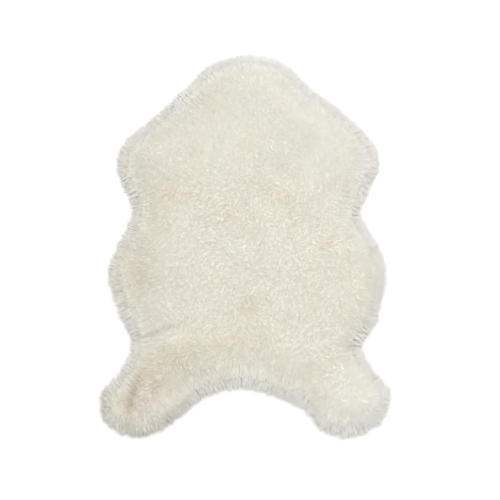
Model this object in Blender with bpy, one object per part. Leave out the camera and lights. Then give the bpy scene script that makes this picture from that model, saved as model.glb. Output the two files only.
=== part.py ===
"""A shaped shag rug: long pale pile on a cloth cut to the outline of a sheepskin, lying flat.

The pile is one lumpy slab. Its underside is flat on the floor at Z = 0, its top rises from a rolled
rim to a soft dome, and a row of tapered locks lies outward from the rim. Metres, +Z up, +Y towards the
neck, +X to the right of someone who stands at the foot end, origin under the middle of the rug.
"""

import math
import random

import bmesh
import bpy
import numpy as np

# Driving sizes
LOCK_REACH = 0.021
RIM_HEIGHT = 0.013
RIM_ROLL = 0.004
PILE_HEIGHT = 0.038
SHOULDER_WIDTH = 0.085
SHOULDER_POWER = 0.7
CALM_WIDTH = 0.030

# The line of the lock tips, from the neck down both sides to the arch between the feet.
# Each row is a place, then its point on the right side and its point on the left side, as (x, y).
NECK = (0.005, 0.454)
SIDES = (
    ("neck side", (0.092, 0.432), (-0.082, 0.429)),
    ("nape", (0.153, 0.371), (-0.140, 0.378)),
    ("shoulder top", (0.219, 0.318), (-0.206, 0.309)),
    ("shoulder", (0.296, 0.236), (-0.292, 0.230)),
    ("foreleg", (0.312, 0.172), (-0.300, 0.166)),
    ("armpit", (0.285, 0.110), (-0.280, 0.116)),
    ("waist", (0.268, 0.055), (-0.262, 0.062)),
    ("flank", (0.298, -0.010), (-0.289, -0.010)),
    ("belly", (0.317, -0.085), (-0.312, -0.080)),
    ("thigh", (0.293, -0.190), (-0.284, -0.177)),
    ("hip", (0.262, -0.252), (-0.257, -0.238)),
    ("hind leg", (0.289, -0.302), (-0.276, -0.298)),
    ("foot side", (0.322, -0.354), (-0.319, -0.356)),
    ("foot corner", (0.299, -0.417), (-0.306, -0.417)),
    ("foot end", (0.232, -0.450), (-0.243, -0.450)),
    ("toe", (0.166, -0.434), (-0.186, -0.436)),
    ("instep", (0.131, -0.393), (-0.136, -0.400)),
    ("arch side", (0.080, -0.367), (-0.092, -0.365)),
)
ARCH = (-0.010, -0.343)
PLACES = [row[0] for row in SIDES]

# Hollows pressed in the top: place, middle (x, y), half length, half width, turn in degrees, depth
HOLLOWS = (
    ("left foot crease", (-0.235, -0.345), 0.050, 0.022, 60.0, 0.009),
    ("left hip parting", (-0.185, -0.240), 0.070, 0.028, 35.0, 0.005),
    ("right foot crease", (0.215, -0.330), 0.045, 0.024, 115.0, 0.005),
    ("left flank", (-0.200, 0.060), 0.070, 0.035, 80.0, 0.004),
    ("back", (0.020, 0.130), 0.100, 0.050, 10.0, 0.003),
    ("right flank", (0.190, -0.060), 0.080, 0.035, 100.0, 0.003),
)

# Lumps of the pile: name, size across, height. Each is a few waves, from a shortest length upward.
LUMPS = (("broad lump", 0.160, 0.0030), ("tuft", 0.070, 0.0016))
WAVES_IN_LUMP = 6
SHORTEST_WAVE = 0.8
WAVE_GROWTH = 0.5
WAVE_SHIFT = 0.37
GOLDEN_ANGLE = math.pi * (3 - math.sqrt(5))

# Cells along each side of the slab's grid, and the fineness of the outline between two places
CELLS = 34
RIM_CELLS = 8 * CELLS
FINE_STEPS = 24
NORMAL_SPAN = 0.05
WELD_DISTANCE = 1e-6

# Locks at the rim
LOCK_COUNT = 172
LOCK_ROOT_DEPTH = 0.010
LOCK_FILL = 0.42
LOCK_BELLY = 0.55 * LOCK_REACH
LOCK_STATIONS = ((-LOCK_ROOT_DEPTH, 1.0), (LOCK_BELLY, 0.90))
LOCK_TIP_RADIUS = 0.0024
LOCK_YAW = math.radians(7.0)
LOCK_LENGTH_SPREAD = 0.003
FLOOR_CLEARANCE = 0.0006
SEED = 11

PILE_COLOUR = (0.80, 0.76, 0.66, 1.0)


def clear_scene():
    """Remove whatever objects the scene opened with."""
    for old in list(bpy.data.objects):
        bpy.data.objects.remove(old, do_unlink=True)


def tip_line():
    """The places of the outline as one closed list of points, clockwise from the neck."""
    right = [row[1] for row in SIDES]
    left = [row[2] for row in reversed(SIDES)]
    return np.array([NECK, *right, ARCH, *left])


def on_spline(t):
    """Points of the closed Catmull-Rom curve through the places, at t counted in places from the neck."""
    places = tip_line()
    step = np.floor(t).astype(int)
    part = (t - step)[:, None]
    before, start, end, after = (places[(step + k) % len(places)] for k in (-1, 0, 1, 2))
    linear = (end - before) * part
    square = (2 * before - 5 * start + 4 * end - after) * part**2
    cube = (3 * start - before - 3 * end + after) * part**3
    return (2 * start + linear + square + cube) / 2


def even_steps(first, last, count):
    """The t of count + 1 points at even steps along the outline, from place first to place last."""
    fine = np.linspace(first, last, round(abs(last - first) * FINE_STEPS) + 1)
    lengths = np.linalg.norm(np.diff(on_spline(fine), axis=0), axis=1)
    reached = np.concatenate([[0.0], np.cumsum(lengths)])
    return np.interp(np.linspace(0.0, reached[-1], count + 1), reached, fine)


def outward(t):
    """The outward unit normals of the outline at t."""
    along = on_spline(t + NORMAL_SPAN) - on_spline(t - NORMAL_SPAN)
    along /= np.linalg.norm(along, axis=1)[:, None]
    return np.column_stack([-along[:, 1], along[:, 0]])


def slab_rim(t):
    """Points of the slab's rim at t: the outline drawn in by the reach of the locks."""
    return on_spline(t) - outward(t) * LOCK_REACH


def smooth_step(value):
    """0 below 0, 1 above 1, and a smooth S between."""
    value = np.clip(value, 0.0, 1.0)
    return value * value * (3 - 2 * value)


def hollow_depth(x, y):
    """The depth of all the hollows: each is a smooth oval dish, turned by its own angle."""
    depth = np.zeros_like(x)
    for _place, middle, half_length, half_width, turn, deepest in HOLLOWS:
        cos, sin = math.cos(math.radians(turn)), math.sin(math.radians(turn))
        along = ((x - middle[0]) * cos + (y - middle[1]) * sin) / half_length
        across = ((y - middle[1]) * cos - (x - middle[0]) * sin) / half_width
        depth += deepest * np.exp(-(along**2 + across**2))
    return depth


def lump_height(x, y):
    """Uneven lumps: for each size, the sum of waves that run in unlike directions, a golden angle apart."""
    height = np.zeros_like(x)
    for number, (_name, size, rise) in enumerate(LUMPS):
        for wave in range(WAVES_IN_LUMP):
            turn = GOLDEN_ANGLE * (wave + number * WAVES_IN_LUMP)
            length = size * (SHORTEST_WAVE + WAVE_GROWTH * wave / WAVES_IN_LUMP)
            phase = (x * math.cos(turn) + y * math.sin(turn)) / length + WAVE_SHIFT * wave
            height += rise * np.sin(math.tau * phase) / math.sqrt(WAVES_IN_LUMP)
    return height


def top_height(x, y, inset):
    """The height of the pile at (x, y), inset metres inside the slab's rim, which itself is calm."""
    rise = smooth_step(inset / SHOULDER_WIDTH) ** SHOULDER_POWER
    uneven = (lump_height(x, y) - hollow_depth(x, y)) * smooth_step(inset / CALM_WIDTH)
    return RIM_HEIGHT + (PILE_HEIGHT - RIM_HEIGHT) * rise + uneven


def side_steps():
    """The t of the points along the four sides of the grid: left, right, low and high.

    The sides meet at the shoulders and the foot corners. Left and right run up towards the neck, low and
    high run from left to right."""
    count = len(tip_line())
    shoulder = PLACES.index("shoulder") + 1
    foot = PLACES.index("foot corner") + 1
    return (
        even_steps(count - foot, count - shoulder, CELLS),
        even_steps(foot, shoulder, CELLS),
        even_steps(count - foot, foot, CELLS),
        even_steps(-shoulder, shoulder, CELLS),
    )


def top_grid():
    """The slab's top as a square grid of points, rows from the foot end to the neck.

    A point inside is the blend of the side points across from each other, less the blend of corners."""
    left, right, low, high = (slab_rim(t) for t in side_steps())
    left, right, low, high = left[:, None], right[:, None], low[None], high[None]
    u = np.linspace(0.0, 1.0, CELLS + 1)[None, :, None]
    v = np.linspace(0.0, 1.0, CELLS + 1)[:, None, None]
    between_sides = left * (1 - u) + right * u
    between_ends = low * (1 - v) + high * v
    low_corners = low[:, :1] * (1 - u) + low[:, -1:] * u
    high_corners = high[:, :1] * (1 - u) + high[:, -1:] * u
    flat = between_sides + between_ends - low_corners * (1 - v) - high_corners * v
    ring = slab_rim(even_steps(0, len(tip_line()), RIM_CELLS))
    inset = np.linalg.norm(flat[:, :, None] - ring[None, None], axis=3).min(axis=2)
    x, y = flat[..., 0], flat[..., 1]
    return np.dstack([x, y, top_height(x, y, inset)])


def pile_slab():
    """The lumpy slab: the grid over the top, a rolled rim, and one flat face underneath."""
    mesh = bmesh.new()
    grid = [[mesh.verts.new(point) for point in row] for row in top_grid()]
    for low_row, high_row in zip(grid, grid[1:]):
        for corners in zip(low_row, low_row[1:], high_row[1:], high_row):
            mesh.faces.new(corners)
    left, right, low, high = side_steps()
    ring_t = np.concatenate([low[:-1], right[:-1], high[:0:-1], left[:0:-1]])
    ring = grid[0][:-1] + [row[-1] for row in grid[:-1]] + grid[-1][:0:-1] + [row[0] for row in grid[:0:-1]]
    for spread, height in ((RIM_ROLL, RIM_HEIGHT / 2), (0.0, 0.0)):
        flat = slab_rim(ring_t) + outward(ring_t) * spread
        below = [mesh.verts.new((x, y, height)) for x, y in flat]
        for corners in zip(ring, below, below[1:] + below[:1], ring[1:] + ring[:1]):
            mesh.faces.new(corners)
        ring = below
    mesh.faces.new(reversed(ring))
    bmesh.ops.recalc_face_normals(mesh, faces=mesh.faces)
    return mesh_object("pile", mesh)


def mesh_object(name, mesh):
    """A new object that holds the finished bmesh."""
    data = bpy.data.meshes.new(name)
    mesh.to_mesh(data)
    mesh.free()
    return bpy.data.objects.new(name, data)


def rim_locks():
    """The locks, as one curve object: each a four-sided tapered tube that rests on the floor.

    A lock starts inside the slab, leaves it along the rim's normal turned by its own small angle, and
    tapers to its tip on the outline. Its thickness is a share of the room that its root has."""
    rng = random.Random(SEED)
    curve = bpy.data.curves.new("locks", "CURVE")
    curve.dimensions = "3D"
    curve.twist_mode = "Z_UP"
    curve.bevel_depth = 1.0
    curve.bevel_resolution = 0
    curve.use_fill_caps = True
    t = even_steps(0, len(tip_line()), LOCK_COUNT)[:-1]
    roots, normals = slab_rim(t), outward(t)
    gaps = np.linalg.norm(roots - np.roll(roots, 1, axis=0), axis=1)
    room = np.minimum(gaps, np.roll(gaps, -1))
    for root, normal, width in zip(roots, normals, room * LOCK_FILL):
        yaw = rng.uniform(-LOCK_YAW, LOCK_YAW)
        cos, sin = math.cos(yaw), math.sin(yaw)
        way = np.array([normal[0] * cos - normal[1] * sin, normal[0] * sin + normal[1] * cos])
        reach = LOCK_REACH + rng.uniform(-LOCK_LENGTH_SPREAD, LOCK_LENGTH_SPREAD)
        stations = [(out, width * share) for out, share in LOCK_STATIONS]
        stations.append((reach, LOCK_TIP_RADIUS))
        spline = curve.splines.new("POLY")
        spline.points.add(len(stations) - 1)
        for station, (out, radius) in zip(spline.points, stations):
            x, y = root + way * out
            station.co = (x, y, radius + FLOOR_CLEARANCE, 1.0)
            station.radius = radius
    return bpy.data.objects.new("locks", curve)


def as_mesh(obj, collection):
    """Replace a curve object with the mesh it makes, its caps welded on."""
    collection.objects.link(obj)
    graph = bpy.context.evaluated_depsgraph_get()
    solid = bmesh.new()
    solid.from_mesh(bpy.data.meshes.new_from_object(obj.evaluated_get(graph)))
    bmesh.ops.remove_doubles(solid, verts=solid.verts, dist=WELD_DISTANCE)
    bmesh.ops.recalc_face_normals(solid, faces=solid.faces)
    name = obj.name
    bpy.data.objects.remove(obj, do_unlink=True)
    made = mesh_object(name, solid)
    collection.objects.link(made)
    return made


def pile_material():
    """Cream acrylic pile: matt, with no metal in it."""
    material = bpy.data.materials.new("cream pile")
    material.use_nodes = True
    shader = material.node_tree.nodes["Principled BSDF"]
    shader.inputs["Base Color"].default_value = PILE_COLOUR
    shader.inputs["Roughness"].default_value = 0.9
    shader.inputs["Metallic"].default_value = 0.0
    material.diffuse_color = PILE_COLOUR
    return material


def centre_on_floor(pile):
    """Slide the finished mesh so that the origin is under the middle of its box."""
    for axis in (0, 1):
        reach = [vert.co[axis] for vert in pile.data.vertices]
        shift = (min(reach) + max(reach)) / 2
        for vert in pile.data.vertices:
            vert.co[axis] -= shift


def build():
    """The whole rug: the slab, with the rim locks joined to it."""
    clear_scene()
    rug = bpy.data.collections.new("shag rug")
    guides = bpy.data.collections.new("guides")
    for collection in (rug, guides):
        bpy.context.scene.collection.children.link(collection)

    slab = pile_slab()
    rug.objects.link(slab)
    locks = as_mesh(rim_locks(), guides)
    locks.hide_render = True
    locks.display_type = "WIRE"
    join = slab.modifiers.new("rim locks", "BOOLEAN")
    join.operation = "UNION"
    join.solver = "EXACT"
    join.object = locks

    graph = bpy.context.evaluated_depsgraph_get()
    joined = bpy.data.meshes.new_from_object(slab.evaluated_get(graph))
    slab.modifiers.clear()
    slab.data = joined
    centre_on_floor(slab)
    slab.data.materials.clear()
    slab.data.materials.append(pile_material())


build()
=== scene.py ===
import math

import bpy
import numpy as np
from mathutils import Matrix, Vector


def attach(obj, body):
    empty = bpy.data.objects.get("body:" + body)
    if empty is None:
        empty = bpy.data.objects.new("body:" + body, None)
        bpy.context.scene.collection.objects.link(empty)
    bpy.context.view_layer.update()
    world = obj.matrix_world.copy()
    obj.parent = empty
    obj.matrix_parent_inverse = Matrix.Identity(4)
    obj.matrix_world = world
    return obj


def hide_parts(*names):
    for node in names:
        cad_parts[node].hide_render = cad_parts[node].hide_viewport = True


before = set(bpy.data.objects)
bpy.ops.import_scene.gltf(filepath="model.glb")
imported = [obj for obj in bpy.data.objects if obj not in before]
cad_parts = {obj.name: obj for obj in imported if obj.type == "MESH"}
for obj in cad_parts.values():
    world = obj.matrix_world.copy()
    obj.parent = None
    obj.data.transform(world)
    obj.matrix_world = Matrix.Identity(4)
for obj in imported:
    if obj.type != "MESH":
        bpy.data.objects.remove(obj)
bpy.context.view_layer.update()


# Camera
# The rug lies on the floor and is seen from almost straight above, from its foot end.
VIEW_ELEVATION = math.radians(76.0)
VIEW_DISTANCE = 2.62
FOCAL_PIXELS = 1150.0
FRAME_PIXELS = 500.0
SENSOR_MM = 36.0
AIM = (0.010, -0.025)

camera_data = bpy.data.cameras.new("camera")
camera_data.sensor_width = SENSOR_MM
camera_data.lens = SENSOR_MM * FOCAL_PIXELS / FRAME_PIXELS
camera = bpy.data.objects.new("camera", camera_data)
bpy.context.scene.collection.objects.link(camera)
camera.location = (AIM[0], AIM[1] - VIEW_DISTANCE * math.cos(VIEW_ELEVATION),
                   VIEW_DISTANCE * math.sin(VIEW_ELEVATION))
camera.rotation_euler = (math.pi / 2 - VIEW_ELEVATION, 0.0, 0.0)
bpy.context.scene.camera = camera


# Backing cloth
# The knitted ground that holds the pile: one thin cream sheet, cut to the outline of a sheepskin.
# It is laid flat, its cut edge is left plain, and the pile lies out over that edge all round.

# Places on the line of the pile's tips: place, right (x, y), left (x, y)
NECK = (0.005, 0.454)
SIDES = (
    ("neck side", (0.092, 0.432), (-0.082, 0.429)),
    ("nape", (0.153, 0.371), (-0.138, 0.376)),
    ("shoulder top", (0.219, 0.318), (-0.204, 0.307)),
    ("shoulder", (0.296, 0.236), (-0.288, 0.228)),
    ("foreleg", (0.312, 0.172), (-0.299, 0.164)),
    ("armpit", (0.285, 0.110), (-0.280, 0.116)),
    ("waist", (0.268, 0.055), (-0.262, 0.062)),
    ("flank", (0.301, -0.010), (-0.289, -0.010)),
    ("belly", (0.320, -0.085), (-0.312, -0.080)),
    ("thigh", (0.296, -0.190), (-0.284, -0.177)),
    ("hip", (0.262, -0.252), (-0.257, -0.238)),
    ("hind leg", (0.289, -0.302), (-0.276, -0.298)),
    ("foot side", (0.322, -0.354), (-0.320, -0.356)),
    ("foot corner", (0.299, -0.417), (-0.307, -0.418)),
    ("foot end", (0.232, -0.450), (-0.243, -0.450)),
    ("toe", (0.166, -0.434), (-0.186, -0.436)),
    ("instep", (0.131, -0.393), (-0.136, -0.400)),
    ("arch side", (0.080, -0.367), (-0.092, -0.365)),
)
ARCH = (-0.010, -0.343)
PLACES = [row[0] for row in SIDES]
TIP_LINE = np.array([NECK, *(row[1] for row in SIDES), ARCH, *(row[2] for row in reversed(SIDES))])
FINE_STEPS = 24
RIM_SAMPLES = 440
NORMAL_SPAN = 0.05

CUT_INSET = 0.026
CLOTH_CELLS = 40
CLOTH_THICKNESS = 0.0020
CLOTH_FLOOR_GAP = 0.0004
# Painted shade in the knit's grooves; the pale colour is on the tops of the loops
CLOTH_GROOVE_SHADE = (0.74, 0.70, 0.60, 1.0)
CLOTH_PALE = (0.84, 0.81, 0.73, 1.0)
KNIT_PITCH = 0.0016
WAVES_PER_SCALE = 20
KNIT_DISTORTION = 1.2
KNIT_DETAIL = 1.0
KNIT_ROUGHNESS = 0.85
LOOP_RISE = 0.0004
BUMP_STRENGTH = 0.5


def on_spline(t):
    """Points of the closed Catmull-Rom curve through the places, at t counted in places from the neck."""
    step = np.floor(t).astype(int)
    part = (t - step)[:, None]
    before, start, end, after = (TIP_LINE[(step + k) % len(TIP_LINE)] for k in (-1, 0, 1, 2))
    linear = (end - before) * part
    square = (2 * before - 5 * start + 4 * end - after) * part**2
    cube = (3 * start - before - 3 * end + after) * part**3
    return (2 * start + linear + square + cube) / 2


def even_steps(first, last, count):
    """The t of count + 1 points at even steps along the outline, from place first to place last."""
    fine = np.linspace(first, last, round(abs(last - first) * FINE_STEPS) + 1)
    lengths = np.linalg.norm(np.diff(on_spline(fine), axis=0), axis=1)
    reached = np.concatenate([[0.0], np.cumsum(lengths)])
    return np.interp(np.linspace(0.0, reached[-1], count + 1), reached, fine)


def outward(t):
    """The outward unit normals of the outline at t."""
    along = on_spline(t + NORMAL_SPAN) - on_spline(t - NORMAL_SPAN)
    along /= np.linalg.norm(along, axis=1)[:, None]
    return np.column_stack([-along[:, 1], along[:, 0]])


def inset_grid(inset, cells):
    """A square grid of flat points inside the outline drawn in by inset, rows from the foot end up.

    Four stretches of the rim, parted at the shoulders and the foot corners, are its sides. A point
    inside is the blend of the side points across from each other, less the blend of the corners."""
    count, shoulder, foot = len(TIP_LINE), PLACES.index("shoulder") + 1, PLACES.index("foot corner") + 1
    stretches = ((count - foot, count - shoulder), (foot, shoulder),
                 (count - foot, foot), (-shoulder, shoulder))
    steps = [even_steps(first, last, cells) for first, last in stretches]
    left, right, low, high = (on_spline(t) - outward(t) * inset for t in steps)
    left, right, low, high = left[:, None], right[:, None], low[None], high[None]
    u = np.linspace(0.0, 1.0, cells + 1)[None, :, None]
    v = np.linspace(0.0, 1.0, cells + 1)[:, None, None]
    low_corners = low[:, :1] * (1 - u) + low[:, -1:] * u
    high_corners = high[:, :1] * (1 - u) + high[:, -1:] * u
    return left * (1 - u) + right * u + low * (1 - v) + high * v - low_corners * (1 - v) - high_corners * v


def slab_faces(cells):
    """Quads of a closed slab: an upper grid of points, a lower one, and a wall between their rims."""
    index = np.arange((cells + 1) ** 2).reshape(cells + 1, cells + 1)
    under = index + index.size
    top = np.stack([index[:-1, :-1], index[:-1, 1:], index[1:, 1:], index[1:, :-1]], -1).reshape(-1, 4)
    low = np.stack([under[:-1, :-1], under[1:, :-1], under[1:, 1:], under[:-1, 1:]], -1).reshape(-1, 4)
    rim = np.concatenate([index[0, :-1], index[:-1, -1], index[-1, :0:-1], index[:0:-1, 0]])
    wall = np.stack([rim, rim + index.size, np.roll(rim, -1) + index.size, np.roll(rim, -1)], -1)
    return np.concatenate([top, low, wall])


def new_piece(name, points, faces):
    """A smooth mesh object from an array of points and an array of faces, riding on the one body."""
    mesh = bpy.data.meshes.new(name)
    mesh.vertices.add(len(points))
    mesh.vertices.foreach_set("co", np.ascontiguousarray(points, np.float32).ravel())
    mesh.loops.add(faces.size)
    mesh.loops.foreach_set("vertex_index", np.ascontiguousarray(faces, np.int32).ravel())
    mesh.polygons.add(len(faces))
    mesh.polygons.foreach_set("loop_start", np.arange(0, faces.size, faces.shape[1], dtype=np.int32))
    mesh.update(calc_edges=True)
    mesh.shade_smooth()
    piece = bpy.data.objects.new(name, mesh)
    bpy.context.scene.collection.objects.link(piece)
    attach(piece, "root")
    return piece


def new_material(name, roughness):
    """A matt material with its node tree, shader and an Object coordinate socket."""
    material = bpy.data.materials.new(name)
    material.use_nodes = True
    nodes, links = material.node_tree.nodes, material.node_tree.links
    shader = nodes["Principled BSDF"]
    shader.inputs["Roughness"].default_value = roughness
    place = nodes.new("ShaderNodeTexCoord").outputs["Object"]
    return material, nodes, links, shader, place


def knit_material():
    """Rows of fine knit loops: two crossed sine waves a loop apart raise the cloth, and paint shade into its
    grooves in the darker colour.
    """
    material, nodes, links, shader, place = new_material("knitted ground", KNIT_ROUGHNESS)
    rows = []
    for direction in ("X", "Y"):
        wave = nodes.new("ShaderNodeTexWave")
        wave.bands_direction = direction
        wave.inputs["Scale"].default_value = 1 / (KNIT_PITCH * WAVES_PER_SCALE)
        wave.inputs["Distortion"].default_value = KNIT_DISTORTION
        wave.inputs["Detail"].default_value = KNIT_DETAIL
        links.new(place, wave.inputs["Vector"])
        rows.append(wave.outputs["Fac"])
    loops = nodes.new("ShaderNodeMath")
    loops.operation = "MULTIPLY"
    links.new(rows[0], loops.inputs[0])
    links.new(rows[1], loops.inputs[1])
    ramp = nodes.new("ShaderNodeValToRGB")
    ramp.color_ramp.elements[0].color = CLOTH_GROOVE_SHADE
    ramp.color_ramp.elements[1].color = CLOTH_PALE
    links.new(loops.outputs[0], ramp.inputs["Fac"])
    links.new(ramp.outputs["Color"], shader.inputs["Base Color"])
    bump = nodes.new("ShaderNodeBump")
    bump.inputs["Strength"].default_value = BUMP_STRENGTH
    bump.inputs["Distance"].default_value = LOOP_RISE
    links.new(loops.outputs[0], bump.inputs["Height"])
    links.new(bump.outputs["Normal"], shader.inputs["Normal"])
    return material


flat = inset_grid(CUT_INSET, CLOTH_CELLS).reshape(-1, 2)
levels = (CLOTH_FLOOR_GAP + CLOTH_THICKNESS, CLOTH_FLOOR_GAP)
points = np.concatenate([np.column_stack([flat, np.full(len(flat), level)]) for level in levels])
backing = new_piece("backing_cloth", points, slab_faces(CLOTH_CELLS))
backing.data.materials.append(knit_material())

cut_t = even_steps(0, len(TIP_LINE), RIM_SAMPLES)[:-1]
cut = on_spline(cut_t) - outward(cut_t) * CUT_INSET


# Dense wool
# The lower part of the pile, where the fibres stand so close that no gap shows between them.
# It is one lumpy felt-like mass on the cloth, a little lower than the tips of the locks all over.
LOCK_REACH = 0.021
RIM_HEIGHT = 0.013
PILE_HEIGHT = 0.038
SHOULDER_WIDTH = 0.085
LIP_POWER = 0.6
SHOULDER_POWER = 0.7
CALM_WIDTH = 0.030
TIP_HEIGHT = 0.0020
SMALLEST_SQUARE = 1e-8

# Hollows pressed in the top: place, middle (x, y), half length, half width, turn in degrees, depth
HOLLOWS = (
    ("left foot crease", (-0.250, -0.358), 0.050, 0.014, 76.0, 0.012),
    ("left hip parting", (-0.185, -0.240), 0.070, 0.028, 35.0, 0.005),
    ("right foot crease", (0.215, -0.330), 0.045, 0.024, 115.0, 0.005),
    ("left flank", (-0.200, 0.060), 0.070, 0.035, 80.0, 0.004),
    ("back", (0.020, 0.130), 0.100, 0.050, 10.0, 0.003),
    ("right flank", (0.190, -0.060), 0.080, 0.035, 100.0, 0.003),
)

# Lumps of the pile: name, size across, height
LUMPS = (("broad lump", 0.160, 0.0030), ("tuft", 0.070, 0.0016))
WAVES_IN_LUMP = 6
SHORTEST_WAVE = 0.8
WAVE_GROWTH = 0.5
WAVE_SHIFT = 0.37
GOLDEN_ANGLE = math.pi * (3 - math.sqrt(5))

# The neck end is calmer than the foot end: between these y the pile grows straighter and evener
CALM_START = 0.060
CALM_END = 0.260
CALM_SHARE = 0.70

# Patches of unlike colour: place, middle (x, y), half length, half width, turn, yellow, pink, dark.
# The dark is painted shade above 0, in creases, partings and on sides turned from the light, and painted
# light below 0
PATCHES = (
    ("left foot crease", (-0.247, -0.356), 0.050, 0.011, 76.0, 1.0, 1.5, 0.19),
    ("left foot", (-0.215, -0.360), 0.075, 0.055, 50.0, -0.2, 1.2, -0.04),
    ("left foot tuft", (-0.195, -0.375), 0.030, 0.014, 40.0, -0.3, -0.2, -0.06),
    ("left foot notch", (-0.168, -0.412), 0.014, 0.007, 45.0, 0.2, 0.3, 0.30),
    ("left hip swath", (-0.220, -0.246), 0.050, 0.022, 10.0, -0.3, 0.1, -0.05),
    ("left hip swath end", (-0.178, -0.238), 0.026, 0.013, 10.0, -0.4, 0.0, -0.15),
    ("left hip swath edge", (-0.200, -0.219), 0.055, 0.006, 16.0, 0.5, 1.1, 0.14),
    ("left foot inner flank", (-0.155, -0.406), 0.080, 0.016, 35.0, 0.1, 0.0, 0.32),
    ("left foot end", (-0.255, -0.444), 0.075, 0.018, -8.0, 0.7, 0.6, 0.35),
    ("left foot outer flank", (-0.316, -0.390), 0.055, 0.018, 80.0, 0.6, 0.6, 0.30),
    ("right foot", (0.245, -0.365), 0.090, 0.070, 125.0, -0.5, 0.0, -0.07),
    ("arch", (0.010, -0.295), 0.130, 0.052, -5.0, 0.0, 0.1, -0.10),
    ("right parting", (0.281, -0.085), 0.080, 0.005, 91.0, 0.2, 0.2, 0.10),
    ("right hip parting", (0.235, -0.247), 0.011, 0.006, 140.0, 0.3, 0.5, 0.35),
    ("right thigh parting", (0.267, -0.191), 0.010, 0.005, 140.0, 0.2, 0.3, 0.25),
    ("right rump", (0.186, -0.271), 0.032, 0.022, 0.0, 0.2, 0.5, 0.015),
    ("left nape", (-0.118, 0.362), 0.060, 0.022, 40.0, -0.2, 0.0, -0.10),
    ("neck rim", (0.000, 0.440), 0.120, 0.026, 0.0, -0.7, 0.0, -0.05),
    ("right shoulder", (0.205, 0.215), 0.110, 0.070, 125.0, -0.4, 0.0, 0.05),
    ("left shoulder", (-0.170, 0.230), 0.100, 0.060, 55.0, 0.0, 0.2, 0.01),
    ("left hip", (-0.150, -0.275), 0.100, 0.040, 20.0, 0.7, 0.6, -0.03),
    ("left flank", (-0.240, -0.060), 0.090, 0.040, 90.0, 0.2, 0.8, 0.0),
    ("left flank rim", (-0.300, -0.060), 0.110, 0.025, 90.0, 0.7, 0.2, 0.04),
    ("left waist", (-0.190, 0.100), 0.050, 0.035, 60.0, 0.3, 0.9, 0.01),
    ("left blade", (-0.133, 0.095), 0.040, 0.030, 150.0, 0.7, 0.6, 0.01),
    ("right blade", (0.065, 0.100), 0.050, 0.025, 150.0, 0.8, 0.6, 0.0),
    ("mid back", (-0.035, 0.046), 0.035, 0.020, 90.0, 0.3, 0.9, 0.0),
    ("right of the back", (0.103, 0.034), 0.028, 0.018, 150.0, 0.4, 0.9, 0.0),
    ("right side", (0.184, -0.015), 0.026, 0.014, 90.0, 0.3, 1.2, 0.0),
    ("right hip", (0.212, -0.090), 0.036, 0.016, 0.0, 0.4, 0.5, -0.01),
    ("loin", (0.004, -0.168), 0.034, 0.026, 0.0, 0.5, 0.9, 0.02),
    ("rump", (0.010, -0.247), 0.065, 0.027, 0.0, 0.4, 0.8, 0.01),
    ("middle", (-0.042, -0.048), 0.060, 0.050, 0.0, -0.3, 0.1, 0.0),
    ("neck", (0.000, 0.330), 0.170, 0.110, 0.0, -0.4, 0.2, 0.035),
    ("neck spot", (-0.078, 0.318), 0.036, 0.024, 70.0, 0.6, 0.8, 0.01),
)
YELLOW_TINT = np.array([1.0, 0.995, 0.930])
PINK_TINT = np.array([1.0, 0.980, 0.975])
# Painted light: the rim band is made paler against the shade among its strands, and a little bluer in tone
RIM_PAINTED_LIGHT = np.array([1.224, 1.228, 1.300])
TINT_BAND = 0.055
# The share of a dark patch's painted shade at the tips, where a root takes one more; painted light where
# dark is below 0
DARK_AT_TIP = 0.5
MOTTLE = (("yellow", 0.090, 0.20), ("dark", 0.045, 0.008))
MOTTLE_STRETCH = 0.6

FELT_CELLS = 100
FELT_INSET = 0.026
FELT_DROP = 0.0017
FELT_RIM_DROP = 0.0010
FELT_RIM_BAND = 0.060
FELT_FOOT = 0.0030
FELT_THINNEST = 0.0005
FELT_COLOUR = np.array([0.819, 0.791, 0.680])
FELT_GRAINS = 320.0
FELT_DETAIL = 3.0
FELT_DARKEST = 0.95
FELT_PALEST = 1.04
FELT_ROUGHNESS = 0.9
FELT_RISE = 0.0010


def smooth_step(value):
    """0 below 0, 1 above 1, and a smooth S between."""
    value = np.clip(value, 0.0, 1.0)
    return value * value * (3 - 2 * value)


def rim_field(flat, batch=16000, fade=4):
    """For flat points: how far each lies inside the tip line, and which way is outward there.

    The distance is to the nearest of the rim's samples, less than 0 outside. The way is the mean of
    the rim's normals, each weighed by one over its distance to the power fade, so it is a unit vector
    at the rim and dies away where opposite rims are as near as each other."""
    t = even_steps(0, len(TIP_LINE), RIM_SAMPLES)[:-1]
    rim, normals = on_spline(t), outward(t)
    insets, ways = [], []
    for start in range(0, len(flat), batch):
        part = flat[start:start + batch]
        away = part[:, None] - rim[None]
        squared = (away**2).sum(2) + SMALLEST_SQUARE
        nearest = squared.argmin(1)
        rows = np.arange(len(part))
        beyond = (away[rows, nearest] * normals[nearest]).sum(1)
        insets.append(-np.sign(beyond) * np.sqrt(squared[rows, nearest]))
        weight = squared ** (-fade / 2)
        ways.append(weight @ normals / weight.sum(1)[:, None])
    return np.concatenate(insets), np.concatenate(ways)


def dishes(table, x, y):
    """Sums of smooth ovals, one for each last column: the full value in the middle and none far out."""
    total = 0.0
    for _place, middle, half_length, half_width, turn, *most in table:
        cos, sin = math.cos(math.radians(turn)), math.sin(math.radians(turn))
        along = ((x - middle[0]) * cos + (y - middle[1]) * sin) / half_length
        across = ((y - middle[1]) * cos - (x - middle[0]) * sin) / half_width
        total = total + np.exp(-(along**2 + across**2))[..., None] * np.array(most)
    return total


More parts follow.
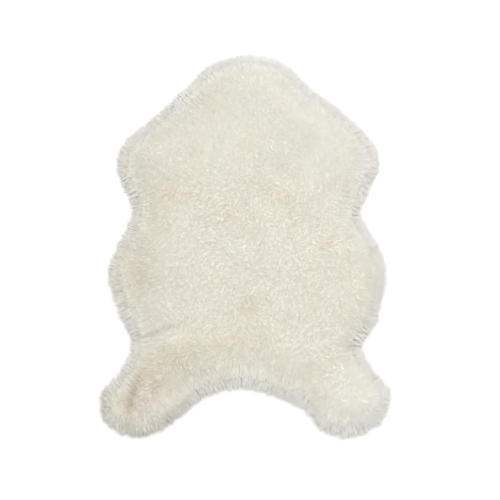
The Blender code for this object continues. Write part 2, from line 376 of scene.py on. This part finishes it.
def uneven_waves(table, x, y):
    """Uneven lumps, one layer for each row: the sum of waves in unlike directions, a golden angle apart."""
    layers = []
    for number, (_name, size, most) in enumerate(table):
        layer = np.zeros_like(x)
        for wave in range(WAVES_IN_LUMP):
            turn = GOLDEN_ANGLE * (wave + number * WAVES_IN_LUMP)
            length = size * (SHORTEST_WAVE + WAVE_GROWTH * wave / WAVES_IN_LUMP)
            phase = (x * math.cos(turn) + y * math.sin(turn)) / length + WAVE_SHIFT * wave
            layer += most * np.sin(math.tau * phase) / math.sqrt(WAVES_IN_LUMP)
        layers.append(layer)
    return layers


def calm_at(flat):
    """How calm the pile is at flat points: 0 at the foot end, CALM_SHARE at the neck end."""
    return CALM_SHARE * smooth_step((flat[..., 1] - CALM_START) / (CALM_END - CALM_START))


def pile_top(flat, inset):
    """The height of the lock tips: a lip that bends down to the floor, then a dome with its lumps."""
    x, y = flat[..., 0], flat[..., 1]
    inner = inset - LOCK_REACH
    lip = RIM_HEIGHT * np.clip(inset / LOCK_REACH, 0.0, 1.0) ** LIP_POWER
    dome = (PILE_HEIGHT - RIM_HEIGHT) * smooth_step(inner / SHOULDER_WIDTH) ** SHOULDER_POWER
    lumps = sum(uneven_waves(LUMPS, x, y)) * (1 - calm_at(flat))
    uneven = (lumps - dishes(HOLLOWS, x, y)[..., 0]) * smooth_step(inner / CALM_WIDTH)
    return np.maximum(lip + dome + uneven, TIP_HEIGHT)


def wool_tint(flat, inset, rootness):
    """Multipliers of the wool's colour: its patches and mottling, and painted light that makes the rim band
    whiter.

    The dark patches are painted shade in creases, partings and on sides turned from the light, so they
    darken the roots more than the tips: rootness is 1 at a root. Where a patch's dark is below 0 it is
    painted light."""
    x, y = flat[..., 0], flat[..., 1]
    yellow, pink, dark = np.moveaxis(dishes(PATCHES, x, y), -1, 0)
    more_yellow, more_dark = uneven_waves(MOTTLE, x, y * MOTTLE_STRETCH)
    rimness = (1 - smooth_step(inset / TINT_BAND))[..., None]
    tint = YELLOW_TINT ** (yellow + more_yellow)[..., None] * PINK_TINT ** pink[..., None]
    # Painted light in the rim band, and the patches' painted shade, darker at the roots
    return tint * RIM_PAINTED_LIGHT ** rimness * (1 - dark * (DARK_AT_TIP + rootness) - more_dark)[..., None]


def paint_points(piece, colours):
    """Write one colour per point in the piece's attribute named wool."""
    paint = piece.data.color_attributes.new("wool", "FLOAT_COLOR", "POINT")
    opaque = np.column_stack([np.clip(colours, 0.0, 1.0), np.ones(len(colours))])
    paint.data.foreach_set("color", opaque.astype(np.float32).ravel())


def painted_shade(nodes, links, shader, pattern, darkest, palest):
    """Join the painted colour, scaled by a pattern between darkest and palest, to the shader."""
    paint = nodes.new("ShaderNodeAttribute")
    paint.attribute_name = "wool"
    shade = nodes.new("ShaderNodeMapRange")
    shade.inputs["To Min"].default_value = darkest
    shade.inputs["To Max"].default_value = palest
    links.new(pattern, shade.inputs["Value"])
    mixed = nodes.new("ShaderNodeVectorMath")
    mixed.operation = "SCALE"
    links.new(paint.outputs["Color"], mixed.inputs["Vector"])
    links.new(shade.outputs["Result"], mixed.inputs["Scale"])
    links.new(mixed.outputs["Vector"], shader.inputs["Base Color"])


def felt_material():
    """Matted cream wool in the painted colour: fine noise shades it and raises it a little."""
    material, nodes, links, shader, place = new_material("dense wool", FELT_ROUGHNESS)
    noise = nodes.new("ShaderNodeTexNoise")
    noise.inputs["Scale"].default_value = FELT_GRAINS
    noise.inputs["Detail"].default_value = FELT_DETAIL
    links.new(place, noise.inputs["Vector"])
    painted_shade(nodes, links, shader, noise.outputs["Fac"], FELT_DARKEST, FELT_PALEST)
    bump = nodes.new("ShaderNodeBump")
    bump.inputs["Strength"].default_value = BUMP_STRENGTH
    bump.inputs["Distance"].default_value = FELT_RISE
    links.new(noise.outputs["Fac"], bump.inputs["Height"])
    links.new(bump.outputs["Normal"], shader.inputs["Normal"])
    return material


flat = inset_grid(FELT_INSET, FELT_CELLS).reshape(-1, 2)
inset, _ = rim_field(flat)
drop = FELT_DROP + FELT_RIM_DROP * (1 - smooth_step(inset / FELT_RIM_BAND))
height = np.maximum(pile_top(flat, inset) - drop, FELT_FOOT + FELT_THINNEST)
foot = np.full(len(flat), FELT_FOOT)
points = np.concatenate([np.column_stack([flat, height]), np.column_stack([flat, foot])])
felt = new_piece("dense_wool", points, slab_faces(FELT_CELLS))
# The felt takes the patches' painted shade and painted light in full, as at a root, and the rim band's
# painted light
paint_points(felt, np.tile(FELT_COLOUR * wool_tint(flat, inset, np.ones(len(flat))), (2, 1)))
felt.data.materials.append(felt_material())
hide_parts("pile")


# Middle locks
# The top of the pile away from the rim: acrylic fibres gathered side by side in small domed locks.
# They are rooted in the dense wool. They lie down to the left in the foot half, up at the neck, and
# outward near the rim.
SIDES_OF_STRAND = 3
STATIONS = np.array([0.0, 0.55, 1.0])
WIDTHS = np.array([1.0, 0.90, 0.0])
FLATTEN = 0.5
OWN_NORMAL = 0.08
LOCK_ROUND = 0.08
SLOPE_STEP = 0.004
SLOPE_SHARE = 0.28
DEPTH_POWER = 1.5
BLEND_START = 0.016
BLEND_WIDTH = 0.045
DEPTH_RANGE = (0.7, 1.3)
WIDTH_RANGE = (0.8, 1.25)
SMALLEST_LENGTH = 1e-12

# A strand's own flat map: the three corners of its foot, and how far up its sides start. On the
# mesh's map for painting each strand has a square cell of its own, with a margin left free.
FOOT_ON_MAP = ((0.9, 0.0), (0.5, 0.06), (0.1, 0.0))
SIDES_ON_MAP = 0.10
CELL_MARGIN = 0.07

WOOL_ROUGHNESS = 0.8
WOOL_SPECULAR = 0.25
WOOL_SHEEN = 0.25
SHEEN_ROUGHNESS = 0.5
STREAK_STRETCH = (9.0, 1.2, 1.0)
STREAK_SCALE = 1.0
STREAK_DETAIL = 1.0
STREAK_DARKEST = 0.97
STREAK_PALEST = 1.03
STREAK_SHIFT = 50

MIDDLE_PITCH = 0.0049
MIDDLE_JITTER = 0.40
MIDDLE_STRANDS = 4
MIDDLE_SPREAD = 0.0030
MIDDLE_GATHER = 0.90
MIDDLE_LENGTH = 0.0056
MIDDLE_LENGTH_RANGE = (0.8, 1.2)
MIDDLE_LONGER = 1.4
CALM_LONGER = 0.5
MIDDLE_DEPTH = 0.0018
MIDDLE_DOME = 0.0002
MIDDLE_HALF_WIDTH = 0.00056
MIDDLE_TURN = 0.36
CRIMP = 0.0004
UNEVEN_TOP = 0.008
MIDDLE_ZONES = ("rump", "belly", "waist", "chest")
MIDDLE_SEED = 7

# Places where the locks lie longer and some of them higher, as a share of the pile's height:
# place, middle (x, y), half length, half width, turn, more length, most rise
LONG_PLACES = (
    ("left flank", (-0.235, -0.060), 0.080, 0.035, 90.0, 1.0, 0.04),
    ("left hip", (-0.140, -0.290), 0.090, 0.035, 12.0, 0.7, 0.08),
    ("left foot", (-0.215, -0.355), 0.060, 0.045, 60.0, 0.9, 0.09),
    ("left foot end", (-0.225, -0.410), 0.070, 0.030, -5.0, 0.3, 0.06),
    ("arch", (0.010, -0.295), 0.140, 0.040, -5.0, 0.2, 0.06),
)

# The nap of the middle lies down to the left in the foot half, and turns to lie up at the neck. Slow
# waves, in radians a metre, turn it to and fro, and towards the rim it is pulled outward.
NAP_DRIFT = 0.40
FOOT_NAP = -2.1
NECK_NAP = -4.7
NAP_TURN = 0.7
NAP_WAVES = (30.0, 21.0, 27.0, 19.0)
NECK_NAP_START = -0.020
NECK_NAP_END = 0.280
PULL_START = 0.030
PULL_WIDTH = 0.080

TIP_COLOUR = np.array([0.815, 0.798, 0.695])
ROOT_COLOUR = np.array([0.813, 0.781, 0.664])
TIP_START = 1.3
# Painted shade between locks: how much more root colour a lock's two side strands keep
SIDE_ROOT_SHADE = 0.5
LOCK_UNLIKE = 0.008
STRAND_UNLIKE = 0.008
# Painted shade of the gaps between locks, in brown, on half of the locks where the wool is pink
SPOT_SHADE_TINT = np.array([0.945, 0.880, 0.825])


def sow(pitch, jitter, rng):
    """Flat points on a jittered square lattice over the whole rug, with their inset and outward way."""
    reach = TIP_LINE.max(0) + pitch
    across = np.arange(-reach[0], reach[0], pitch)
    along = np.arange(-reach[1], reach[1], pitch)
    lattice = np.stack(np.meshgrid(across, along), -1).reshape(-1, 2)
    lattice += rng.uniform(-jitter, jitter, lattice.shape) * pitch
    return lattice, *rim_field(lattice)


def turned(ways, angle):
    """Flat vectors turned by an angle each."""
    cos, sin = np.cos(angle), np.sin(angle)
    return np.column_stack([ways[:, 0] * cos - ways[:, 1] * sin, ways[:, 0] * sin + ways[:, 1] * cos])


def unit(vectors):
    """Vectors scaled to length one along the last axis."""
    return vectors / (np.linalg.norm(vectors, axis=-1, keepdims=True) + SMALLEST_LENGTH)


def around(count, rng):
    """Random flat points in a disc of radius one, evenly spread."""
    turn, out = rng.uniform(0, math.tau, count), np.sqrt(rng.uniform(0, 1, count))
    return np.column_stack([np.cos(turn), np.sin(turn)]) * out[:, None]


def lock_rise(lock, rng):
    """How much higher each lock stands than the pile's top, as a share of its height, at random."""
    return dishes(LONG_PLACES, lock[:, 0], lock[:, 1])[:, 1] * rng.uniform(0.0, 1.0, len(lock))


def lay_strands(lock, lean, length, spread, gather, sway, depth, dome, share, rng):
    """Lines of strands through the stations, with their side, their place across the lock and their inset.

    The tip lies in a disc about the lock's place, gather times as wide as the disc of the roots, which
    is a length back against the lean. The flat place runs evenly from root to tip and is swung sideways
    by a half sine wave. The height is share of the pile's top there, less a depth that dies away as a
    power of what is left to the tip, and less a dome that falls as the square of the place across."""
    side = np.column_stack([-lean[:, 1], lean[:, 0]])
    offset = around(len(lock), rng)
    across = (offset * side).sum(1)
    tip = lock + offset * spread * gather
    root = lock - lean * length[:, None] + offset * spread
    bow = rng.normal(0.0, sway, len(lock))[:, None] * np.sin(math.pi * STATIONS)[None]
    flat = root[:, None] + (tip - root)[:, None] * STATIONS[None, :, None] + side[:, None] * bow[..., None]
    inset, _ = rim_field(flat.reshape(-1, 2))
    inset = inset.reshape(flat.shape[:2])
    sunk = depth[:, None] * (1 - STATIONS[None]) ** DEPTH_POWER + (dome * across**2)[:, None]
    height = pile_top(flat, inset) * share[:, None] - sunk
    return np.dstack([flat, np.maximum(height, TIP_HEIGHT)]), side, across, inset


def top_normals(flat):
    """The upward unit normals of the pile's top, from its rise over a short step along X and Y."""
    here, along_x, along_y = (pile_top(flat + step, rim_field(flat + step)[0])
                              for step in ((0.0, 0.0), (SLOPE_STEP, 0.0), (0.0, SLOPE_STEP)))
    upward = np.full(len(flat), SLOPE_STEP / SLOPE_SHARE)
    return unit(np.column_stack([here - along_x, here - along_y, upward]))


def strand_shapes(lines, side, across, half_width, lock_round):
    """Points and normals of tapered three-sided strands: a triangle about each station, then the tip.

    A corner lies at half width along a turn between the strand's side and its upper side. Its normal is
    that direction, mixed with the pile's top and with the roundness of the lock, as light spreads from
    strand to strand."""
    level_side = np.column_stack([side, np.zeros(len(side))])
    soft_normal = top_normals(lines[:, 1, :2]) + lock_round[:, None] * across[:, None] * level_side
    ahead = unit(np.gradient(lines, axis=1))
    upper = np.cross(ahead, np.broadcast_to(level_side[:, None], ahead.shape))
    upper *= np.where(upper[..., 2:] < 0, -1.0, 1.0)
    turns = (-math.pi / 2 + math.tau * np.arange(SIDES_OF_STRAND) / SIDES_OF_STRAND)[None, None, :, None]
    corner = level_side[:, None, None] * np.cos(turns) + FLATTEN * upper[:, :-1, None] * np.sin(turns)
    half = (half_width[:, None] * WIDTHS[None])[:, :-1, None, None]
    rings = (lines[:, :-1, None] + half * corner).reshape(len(lines), -1, 3)
    facing = np.concatenate([unit(corner).reshape(len(lines), -1, 3), ahead[:, -1:]], axis=1)
    normals = unit(OWN_NORMAL * facing + soft_normal[:, None])
    return np.concatenate([rings, lines[:, -1:]], axis=1), normals


def strand_faces():
    """One strand's triangles and the place of each corner on the strand's own flat map, from 0 to 1."""
    sides, rings = SIDES_OF_STRAND, len(STATIONS) - 1
    faces, map_places = [[2, 1, 0]], [FOOT_ON_MAP]
    heights = SIDES_ON_MAP + (1 - SIDES_ON_MAP) * STATIONS
    for ring in range(rings):
        for k in range(sides):
            a, b = ring * sides + k, ring * sides + (k + 1) % sides
            u, w, low, high = k / sides, (k + 1) / sides, heights[ring], heights[ring + 1]
            if ring == rings - 1:
                faces.append([a, b, rings * sides])
                map_places.append([[u, low], [w, low], [(u + w) / 2, high]])
                continue
            faces += [[a, b, b + sides], [a, b + sides, a + sides]]
            map_places += [[[u, low], [w, low], [w, high]], [[u, low], [w, high], [u, high]]]
    return np.array(faces), np.array(map_places)


def wool_colours(lines, across, inset, calm, per_lock, rng):
    """The colour at each station: root to tip, tinted by place, a little unlike by lock and by strand.

    The strands at a lock's two sides keep more of the darker root's colour, painted shade between the locks,
    and less so where it is calm.
    Where the wool is pink, half of the locks are browner, darker spots: painted shade of the gaps between
    locks."""
    tipness = smooth_step(STATIONS * TIP_START)[None] * (1 - SIDE_ROOT_SHADE * across**2)[:, None]
    tipness = tipness + (1 - tipness) * calm[:, None]
    colour = ROOT_COLOUR + (TIP_COLOUR - ROOT_COLOUR) * tipness[..., None]
    colour = colour * wool_tint(lines[..., :2], inset, 1 - tipness)
    of_lock = np.repeat(rng.normal(0.0, 1.0, len(lines) // per_lock), per_lock) * (1 - calm)
    pink = dishes(PATCHES, lines[:, 1, 0], lines[:, 1, 1])[:, 1]
    spot = SPOT_SHADE_TINT ** (np.clip(pink, 0.0, None) * np.clip(of_lock, 0.0, None))[:, None]
    shade = 1 + of_lock * LOCK_UNLIKE + rng.normal(0.0, STRAND_UNLIKE, len(lines))
    return colour * (shade[:, None] * spot)[:, None]


def wool_material():
    """Pale wool: the colour is painted on the strands, fine streaks run along them, with a soft sheen."""
    material, nodes, links, shader, _ = new_material("pile wool", WOOL_ROUGHNESS)
    own_map = nodes.new("ShaderNodeUVMap")
    own_map.uv_map = "strand"
    stretch = nodes.new("ShaderNodeMapping")
    stretch.inputs["Scale"].default_value = STREAK_STRETCH
    links.new(own_map.outputs["UV"], stretch.inputs["Vector"])
    streaks = nodes.new("ShaderNodeTexNoise")
    streaks.noise_dimensions = "2D"
    streaks.inputs["Scale"].default_value = STREAK_SCALE
    streaks.inputs["Detail"].default_value = STREAK_DETAIL
    links.new(stretch.outputs["Vector"], streaks.inputs["Vector"])
    painted_shade(nodes, links, shader, streaks.outputs["Fac"], STREAK_DARKEST, STREAK_PALEST)
    shader.inputs["Specular IOR Level"].default_value = WOOL_SPECULAR
    shader.inputs["Sheen Weight"].default_value = WOOL_SHEEN
    shader.inputs["Sheen Roughness"].default_value = SHEEN_ROUGHNESS
    return material


def strand_piece(name, shapes, normals, colours, material, rng):
    """One zone's strands as a joined mesh, with their normals, their paint and their two maps."""
    count, per_strand = shapes.shape[:2]
    own_faces, own_map = strand_faces()
    faces = (own_faces[None] + (np.arange(count) * per_strand)[:, None, None]).reshape(-1, 3)
    piece = new_piece(name, shapes.reshape(-1, 3), faces)
    rings = np.repeat(colours[:, :-1], SIDES_OF_STRAND, axis=1)
    paint_points(piece, np.concatenate([rings, colours[:, -1:]], axis=1).reshape(-1, 3))
    columns = math.ceil(math.sqrt(count))
    cell = np.column_stack([np.arange(count) % columns, np.arange(count) // columns])
    baked = (cell[:, None, None] + CELL_MARGIN + (1 - 2 * CELL_MARGIN) * own_map[None]) / columns
    streaked = own_map[None] + rng.uniform(0, STREAK_SHIFT, (count, 1, 1, 2))
    for map_name, places in (("OFBake", baked), ("strand", streaked)):
        layer = piece.data.uv_layers.new(name=map_name)
        layer.uv.foreach_set("vector", places.astype(np.float32).ravel())
    piece.data.normals_split_custom_set_from_vertices(normals.reshape(-1, 3))
    piece.data.materials.append(material)
    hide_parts("pile")
    return piece


def strand_pieces(zones, group, laid, half_width, calm, per_lock, material, rng):
    """Joined meshes of a group of strands, one for each zone from the foot end up."""
    lines, side, across, inset = laid
    shapes, normals = strand_shapes(lines, side, across, half_width, LOCK_ROUND * (1 - calm))
    colours = wool_colours(lines, across, inset, calm, per_lock, rng)
    order = np.argsort(lines[:, 0, 1], kind="stable")
    return [strand_piece(f"{group}_{zone}", shapes[part], normals[part], colours[part], material, rng)
            for zone, part in zip(zones, np.array_split(order, len(zones)))]


rng = np.random.default_rng(MIDDLE_SEED)
wool = wool_material()
lock, inset, way = sow(MIDDLE_PITCH, MIDDLE_JITTER, rng)
inner = rng.uniform(0, 1, len(lock)) < smooth_step((inset - BLEND_START) / BLEND_WIDTH)
lock, inset, way = lock[inner], inset[inner], way[inner]
x, y = lock[:, 0], lock[:, 1]
across_x, across_y, along_y, along_x = NAP_WAVES
wander = np.sin(x * across_x + np.sin(y * across_y)) + np.sin(y * along_y + np.sin(x * along_x))
calm = calm_at(lock)
neckward = smooth_step((y - NECK_NAP_START) / (NECK_NAP_END - NECK_NAP_START))
nap_angle = FOOT_NAP + (NECK_NAP - FOOT_NAP) * neckward + NAP_TURN * wander * (1 - calm)
nap = np.column_stack([np.cos(nap_angle), np.sin(nap_angle)]) * NAP_DRIFT
pull = 1 - smooth_step((inset - PULL_START) / PULL_WIDTH)
lean = turned(unit(way * pull[:, None] + nap), rng.normal(0.0, MIDDLE_TURN, len(lock)) * (1 - calm))
longer = 1 + MIDDLE_LONGER * (1 - smooth_step((inset - BLEND_START) / BLEND_WIDTH)) + CALM_LONGER * calm
longer += dishes(LONG_PLACES, x, y)[:, 0]
rise = lock_rise(lock, rng)
lock, lean, longer, rise, calm = (np.repeat(a, MIDDLE_STRANDS, axis=0)
                                  for a in (lock, lean, longer, rise, calm))
count = len(lock)
length = MIDDLE_LENGTH * longer * rng.uniform(*MIDDLE_LENGTH_RANGE, count)
depth = MIDDLE_DEPTH * rng.uniform(*DEPTH_RANGE, count)
share = 1 + rise - rng.uniform(0.0, UNEVEN_TOP, count)
half_width = MIDDLE_HALF_WIDTH * rng.uniform(*WIDTH_RANGE, count)
laid = lay_strands(lock, lean, length, MIDDLE_SPREAD, MIDDLE_GATHER, CRIMP, depth,
                   MIDDLE_DOME * (1 - calm), share, rng)
middle_locks = strand_pieces(MIDDLE_ZONES, "middle", laid, half_width, calm, MIDDLE_STRANDS, wool, rng)


# Rim locks
# The long fibres of the edge: smooth locks laid outward like thatch, over the cut edge of the cloth
# and down to the floor. The outermost ones stand at all heights, so the edge is closed but soft.
RIM_PITCH = 0.0050
RIM_JITTER = 0.45
RIM_STRANDS = 5
RIM_SPREAD = 0.0034
RIM_GATHER = 0.80
RIM_LENGTH = 0.036
RIM_LENGTH_RANGE = (0.75, 1.25)
RIM_INNER_LENGTH = 0.5
RIM_DEPTH = 0.0026
RIM_DOME = 0.0003
RIM_HALF_WIDTH = 0.00048
RIM_TURN = 0.12
RIM_SWAY = 0.0008
RIM_CALM = 0.75
TIP_OVERHANG = 0.0030
FRINGE_WIDTH = 0.018
LOWEST_SHARE = 0.15
RIM_ZONES = ("feet", "flanks", "shoulders")
RIM_SEED = 9

# The tips at the rim reach a little further out here and there, in tufts: name, size across, reach
RIM_TUFTS = (("rim tuft", 0.026, 0.0019),)
TUFT_BAND = 0.022


def tufted(lock, way, inset):
    """Flat points near the rim moved outward or inward by the waves of the rim's tufts."""
    reach = uneven_waves(RIM_TUFTS, lock[:, 0], lock[:, 1])[0] * (1 - smooth_step(inset / TUFT_BAND))
    return lock + unit(way) * reach[:, None]


rng = np.random.default_rng(RIM_SEED)
lock, inset, way = sow(RIM_PITCH, RIM_JITTER, rng)
outer = rng.uniform(0, 1, len(lock)) > smooth_step((inset - BLEND_START) / BLEND_WIDTH)
outer &= inset > -TIP_OVERHANG
lock, inset, way = lock[outer], inset[outer], way[outer]
lock = tufted(lock, way, inset)
lean = turned(unit(way), rng.normal(0.0, RIM_TURN, len(lock)))
rise = lock_rise(lock, rng)
lock, lean, inset, rise = (np.repeat(a, RIM_STRANDS, axis=0) for a in (lock, lean, inset, rise))
count = len(lock)
inner_share = smooth_step(inset / (BLEND_START + BLEND_WIDTH))
length = RIM_LENGTH * rng.uniform(*RIM_LENGTH_RANGE, count) * (1 - RIM_INNER_LENGTH * inner_share)
low = rng.uniform(0.0, 1.0, count) * (1 - smooth_step(inset / FRINGE_WIDTH))
depth = RIM_DEPTH * rng.uniform(*DEPTH_RANGE, count)
half_width = RIM_HALF_WIDTH * rng.uniform(*WIDTH_RANGE, count)
calm = np.maximum(calm_at(lock), RIM_CALM * (1 - inner_share))
laid = lay_strands(lock, lean, length, RIM_SPREAD, RIM_GATHER, RIM_SWAY, depth,
                   np.full(count, RIM_DOME), 1 + rise - (1 - LOWEST_SHARE) * low, rng)
rim_locks = strand_pieces(RIM_ZONES, "rim", laid, half_width, calm, RIM_STRANDS, wool, rng)


# Edge fringe
# The shortest fibres, rooted at the very cut edge of the cloth: they fill in between the rim locks
# from the floor up to the lip, so that neither the cloth nor the floor shows through the edge.
EDGE_TUFTS = 2600
EDGE_STRANDS = 5
EDGE_LENGTH = 0.025
EDGE_LENGTH_RANGE = (0.7, 1.3)
EDGE_OUT = 0.0035
EDGE_IN = 0.0100
EDGE_SPREAD = 0.0022
EDGE_GATHER = 0.50
EDGE_DEPTH = 0.0010
EDGE_HALF_WIDTH = 0.00042
EDGE_TURN = 0.18
EDGE_SWAY = 0.0006
EDGE_LOWEST = 0.10
EDGE_CALM = 1.0
EDGE_SEED = 11

rng = np.random.default_rng(EDGE_SEED)
t = even_steps(0, len(TIP_LINE), EDGE_TUFTS)[:-1]
way = outward(t)
inset = rng.uniform(-EDGE_OUT, EDGE_IN, len(t))
lock = tufted(on_spline(t) - way * inset[:, None], way, inset)
lean = turned(way, rng.normal(0.0, EDGE_TURN, len(t)))
lock, lean = np.repeat(lock, EDGE_STRANDS, axis=0), np.repeat(lean, EDGE_STRANDS, axis=0)
count = len(lock)
length = EDGE_LENGTH * rng.uniform(*EDGE_LENGTH_RANGE, count)
share = rng.uniform(EDGE_LOWEST, 1.0, count)
half_width = EDGE_HALF_WIDTH * rng.uniform(*WIDTH_RANGE, count)
laid = lay_strands(lock, lean, length, EDGE_SPREAD, EDGE_GATHER, EDGE_SWAY, np.full(count, EDGE_DEPTH),
                   np.zeros(count), share, rng)
calm = np.full(count, EDGE_CALM)
edge_fringe = strand_pieces(("fringe",), "edge", laid, half_width, calm, EDGE_STRANDS, wool, rng)


# Hip swath
# One swath of longer pale fibres that has swept out over the left hip, side by side, to the rim.
SWATH_MIDDLE = (-0.212, -0.246)
SWATH_HALF_LENGTH = 0.048
SWATH_HALF_WIDTH = 0.026
SWATH_TURN = math.radians(194.0)
SWATH_FAN = 0.06
SWATH_LOCKS = 130
SWATH_STRANDS = 7
SWATH_LENGTH = 0.045
SWATH_LENGTH_RANGE = (0.7, 1.2)
SWATH_WIDTH_RANGE = (0.8, 1.1)
SWATH_DEPTH = 0.0075
SWATH_DOME = 0.0030
SWATH_LOW = 1.00
SWATH_HIGH = 1.07
SWATH_SPREAD = 0.0030
SWATH_GATHER = 0.35
SWATH_SEED = 13

rng = np.random.default_rng(SWATH_SEED)
place = around(SWATH_LOCKS, rng) * (SWATH_HALF_LENGTH, SWATH_HALF_WIDTH)
lock = np.array(SWATH_MIDDLE) + turned(place, np.full(SWATH_LOCKS, SWATH_TURN))
ahead = np.tile([[math.cos(SWATH_TURN), math.sin(SWATH_TURN)]], (SWATH_LOCKS, 1))
lean = turned(ahead, rng.normal(0.0, SWATH_FAN, SWATH_LOCKS))
share = rng.uniform(SWATH_LOW, SWATH_HIGH, SWATH_LOCKS)
lock, lean, share = (np.repeat(a, SWATH_STRANDS, axis=0) for a in (lock, lean, share))
count = len(lock)
length = SWATH_LENGTH * rng.uniform(*SWATH_LENGTH_RANGE, count)
half_width = MIDDLE_HALF_WIDTH * rng.uniform(*SWATH_WIDTH_RANGE, count)
laid = lay_strands(lock, lean, length, SWATH_SPREAD, SWATH_GATHER, CRIMP, np.full(count, SWATH_DEPTH),
                   np.full(count, SWATH_DOME), share, rng)
hip_swath = strand_pieces(("swath",), "hip", laid, half_width, np.zeros(count), SWATH_STRANDS, wool, rng)


# Floor and light
# A plain pale floor, an even white sky and one broad soft light from the upper right.
FLOOR_SIZE = 8.0
FLOOR_COLOUR = (0.93, 0.93, 0.93, 1.0)
FLOOR_ROUGHNESS = 0.7
SKY = (1.0, 1.0, 1.0, 1.0)
SKY_STRENGTH = 0.97
KEY_PLACE = (1.2, 1.5, 2.4)
KEY_SIZE = 1.6
KEY_WATTS = 28.0

bpy.ops.mesh.primitive_plane_add(size=FLOOR_SIZE, location=(0.0, 0.0, 0.0))
floor = bpy.context.active_object
floor.name = "floor"
floor_material, _, _, floor_shader, _ = new_material("pale floor", FLOOR_ROUGHNESS)
floor_shader.inputs["Base Color"].default_value = FLOOR_COLOUR
floor.data.materials.append(floor_material)

world = bpy.data.worlds.new("studio")
world.use_nodes = True
sky = world.node_tree.nodes["Background"]
sky.inputs["Color"].default_value = SKY
sky.inputs["Strength"].default_value = SKY_STRENGTH
bpy.context.scene.world = world

key_data = bpy.data.lights.new("key", "AREA")
key_data.size = KEY_SIZE
key_data.energy = KEY_WATTS
key = bpy.data.objects.new("key", key_data)
bpy.context.scene.collection.objects.link(key)
key.location = KEY_PLACE
key.rotation_euler = Vector(KEY_PLACE).to_track_quat("Z", "Y").to_euler()
bpy.context.scene.view_settings.view_transform = "Standard"
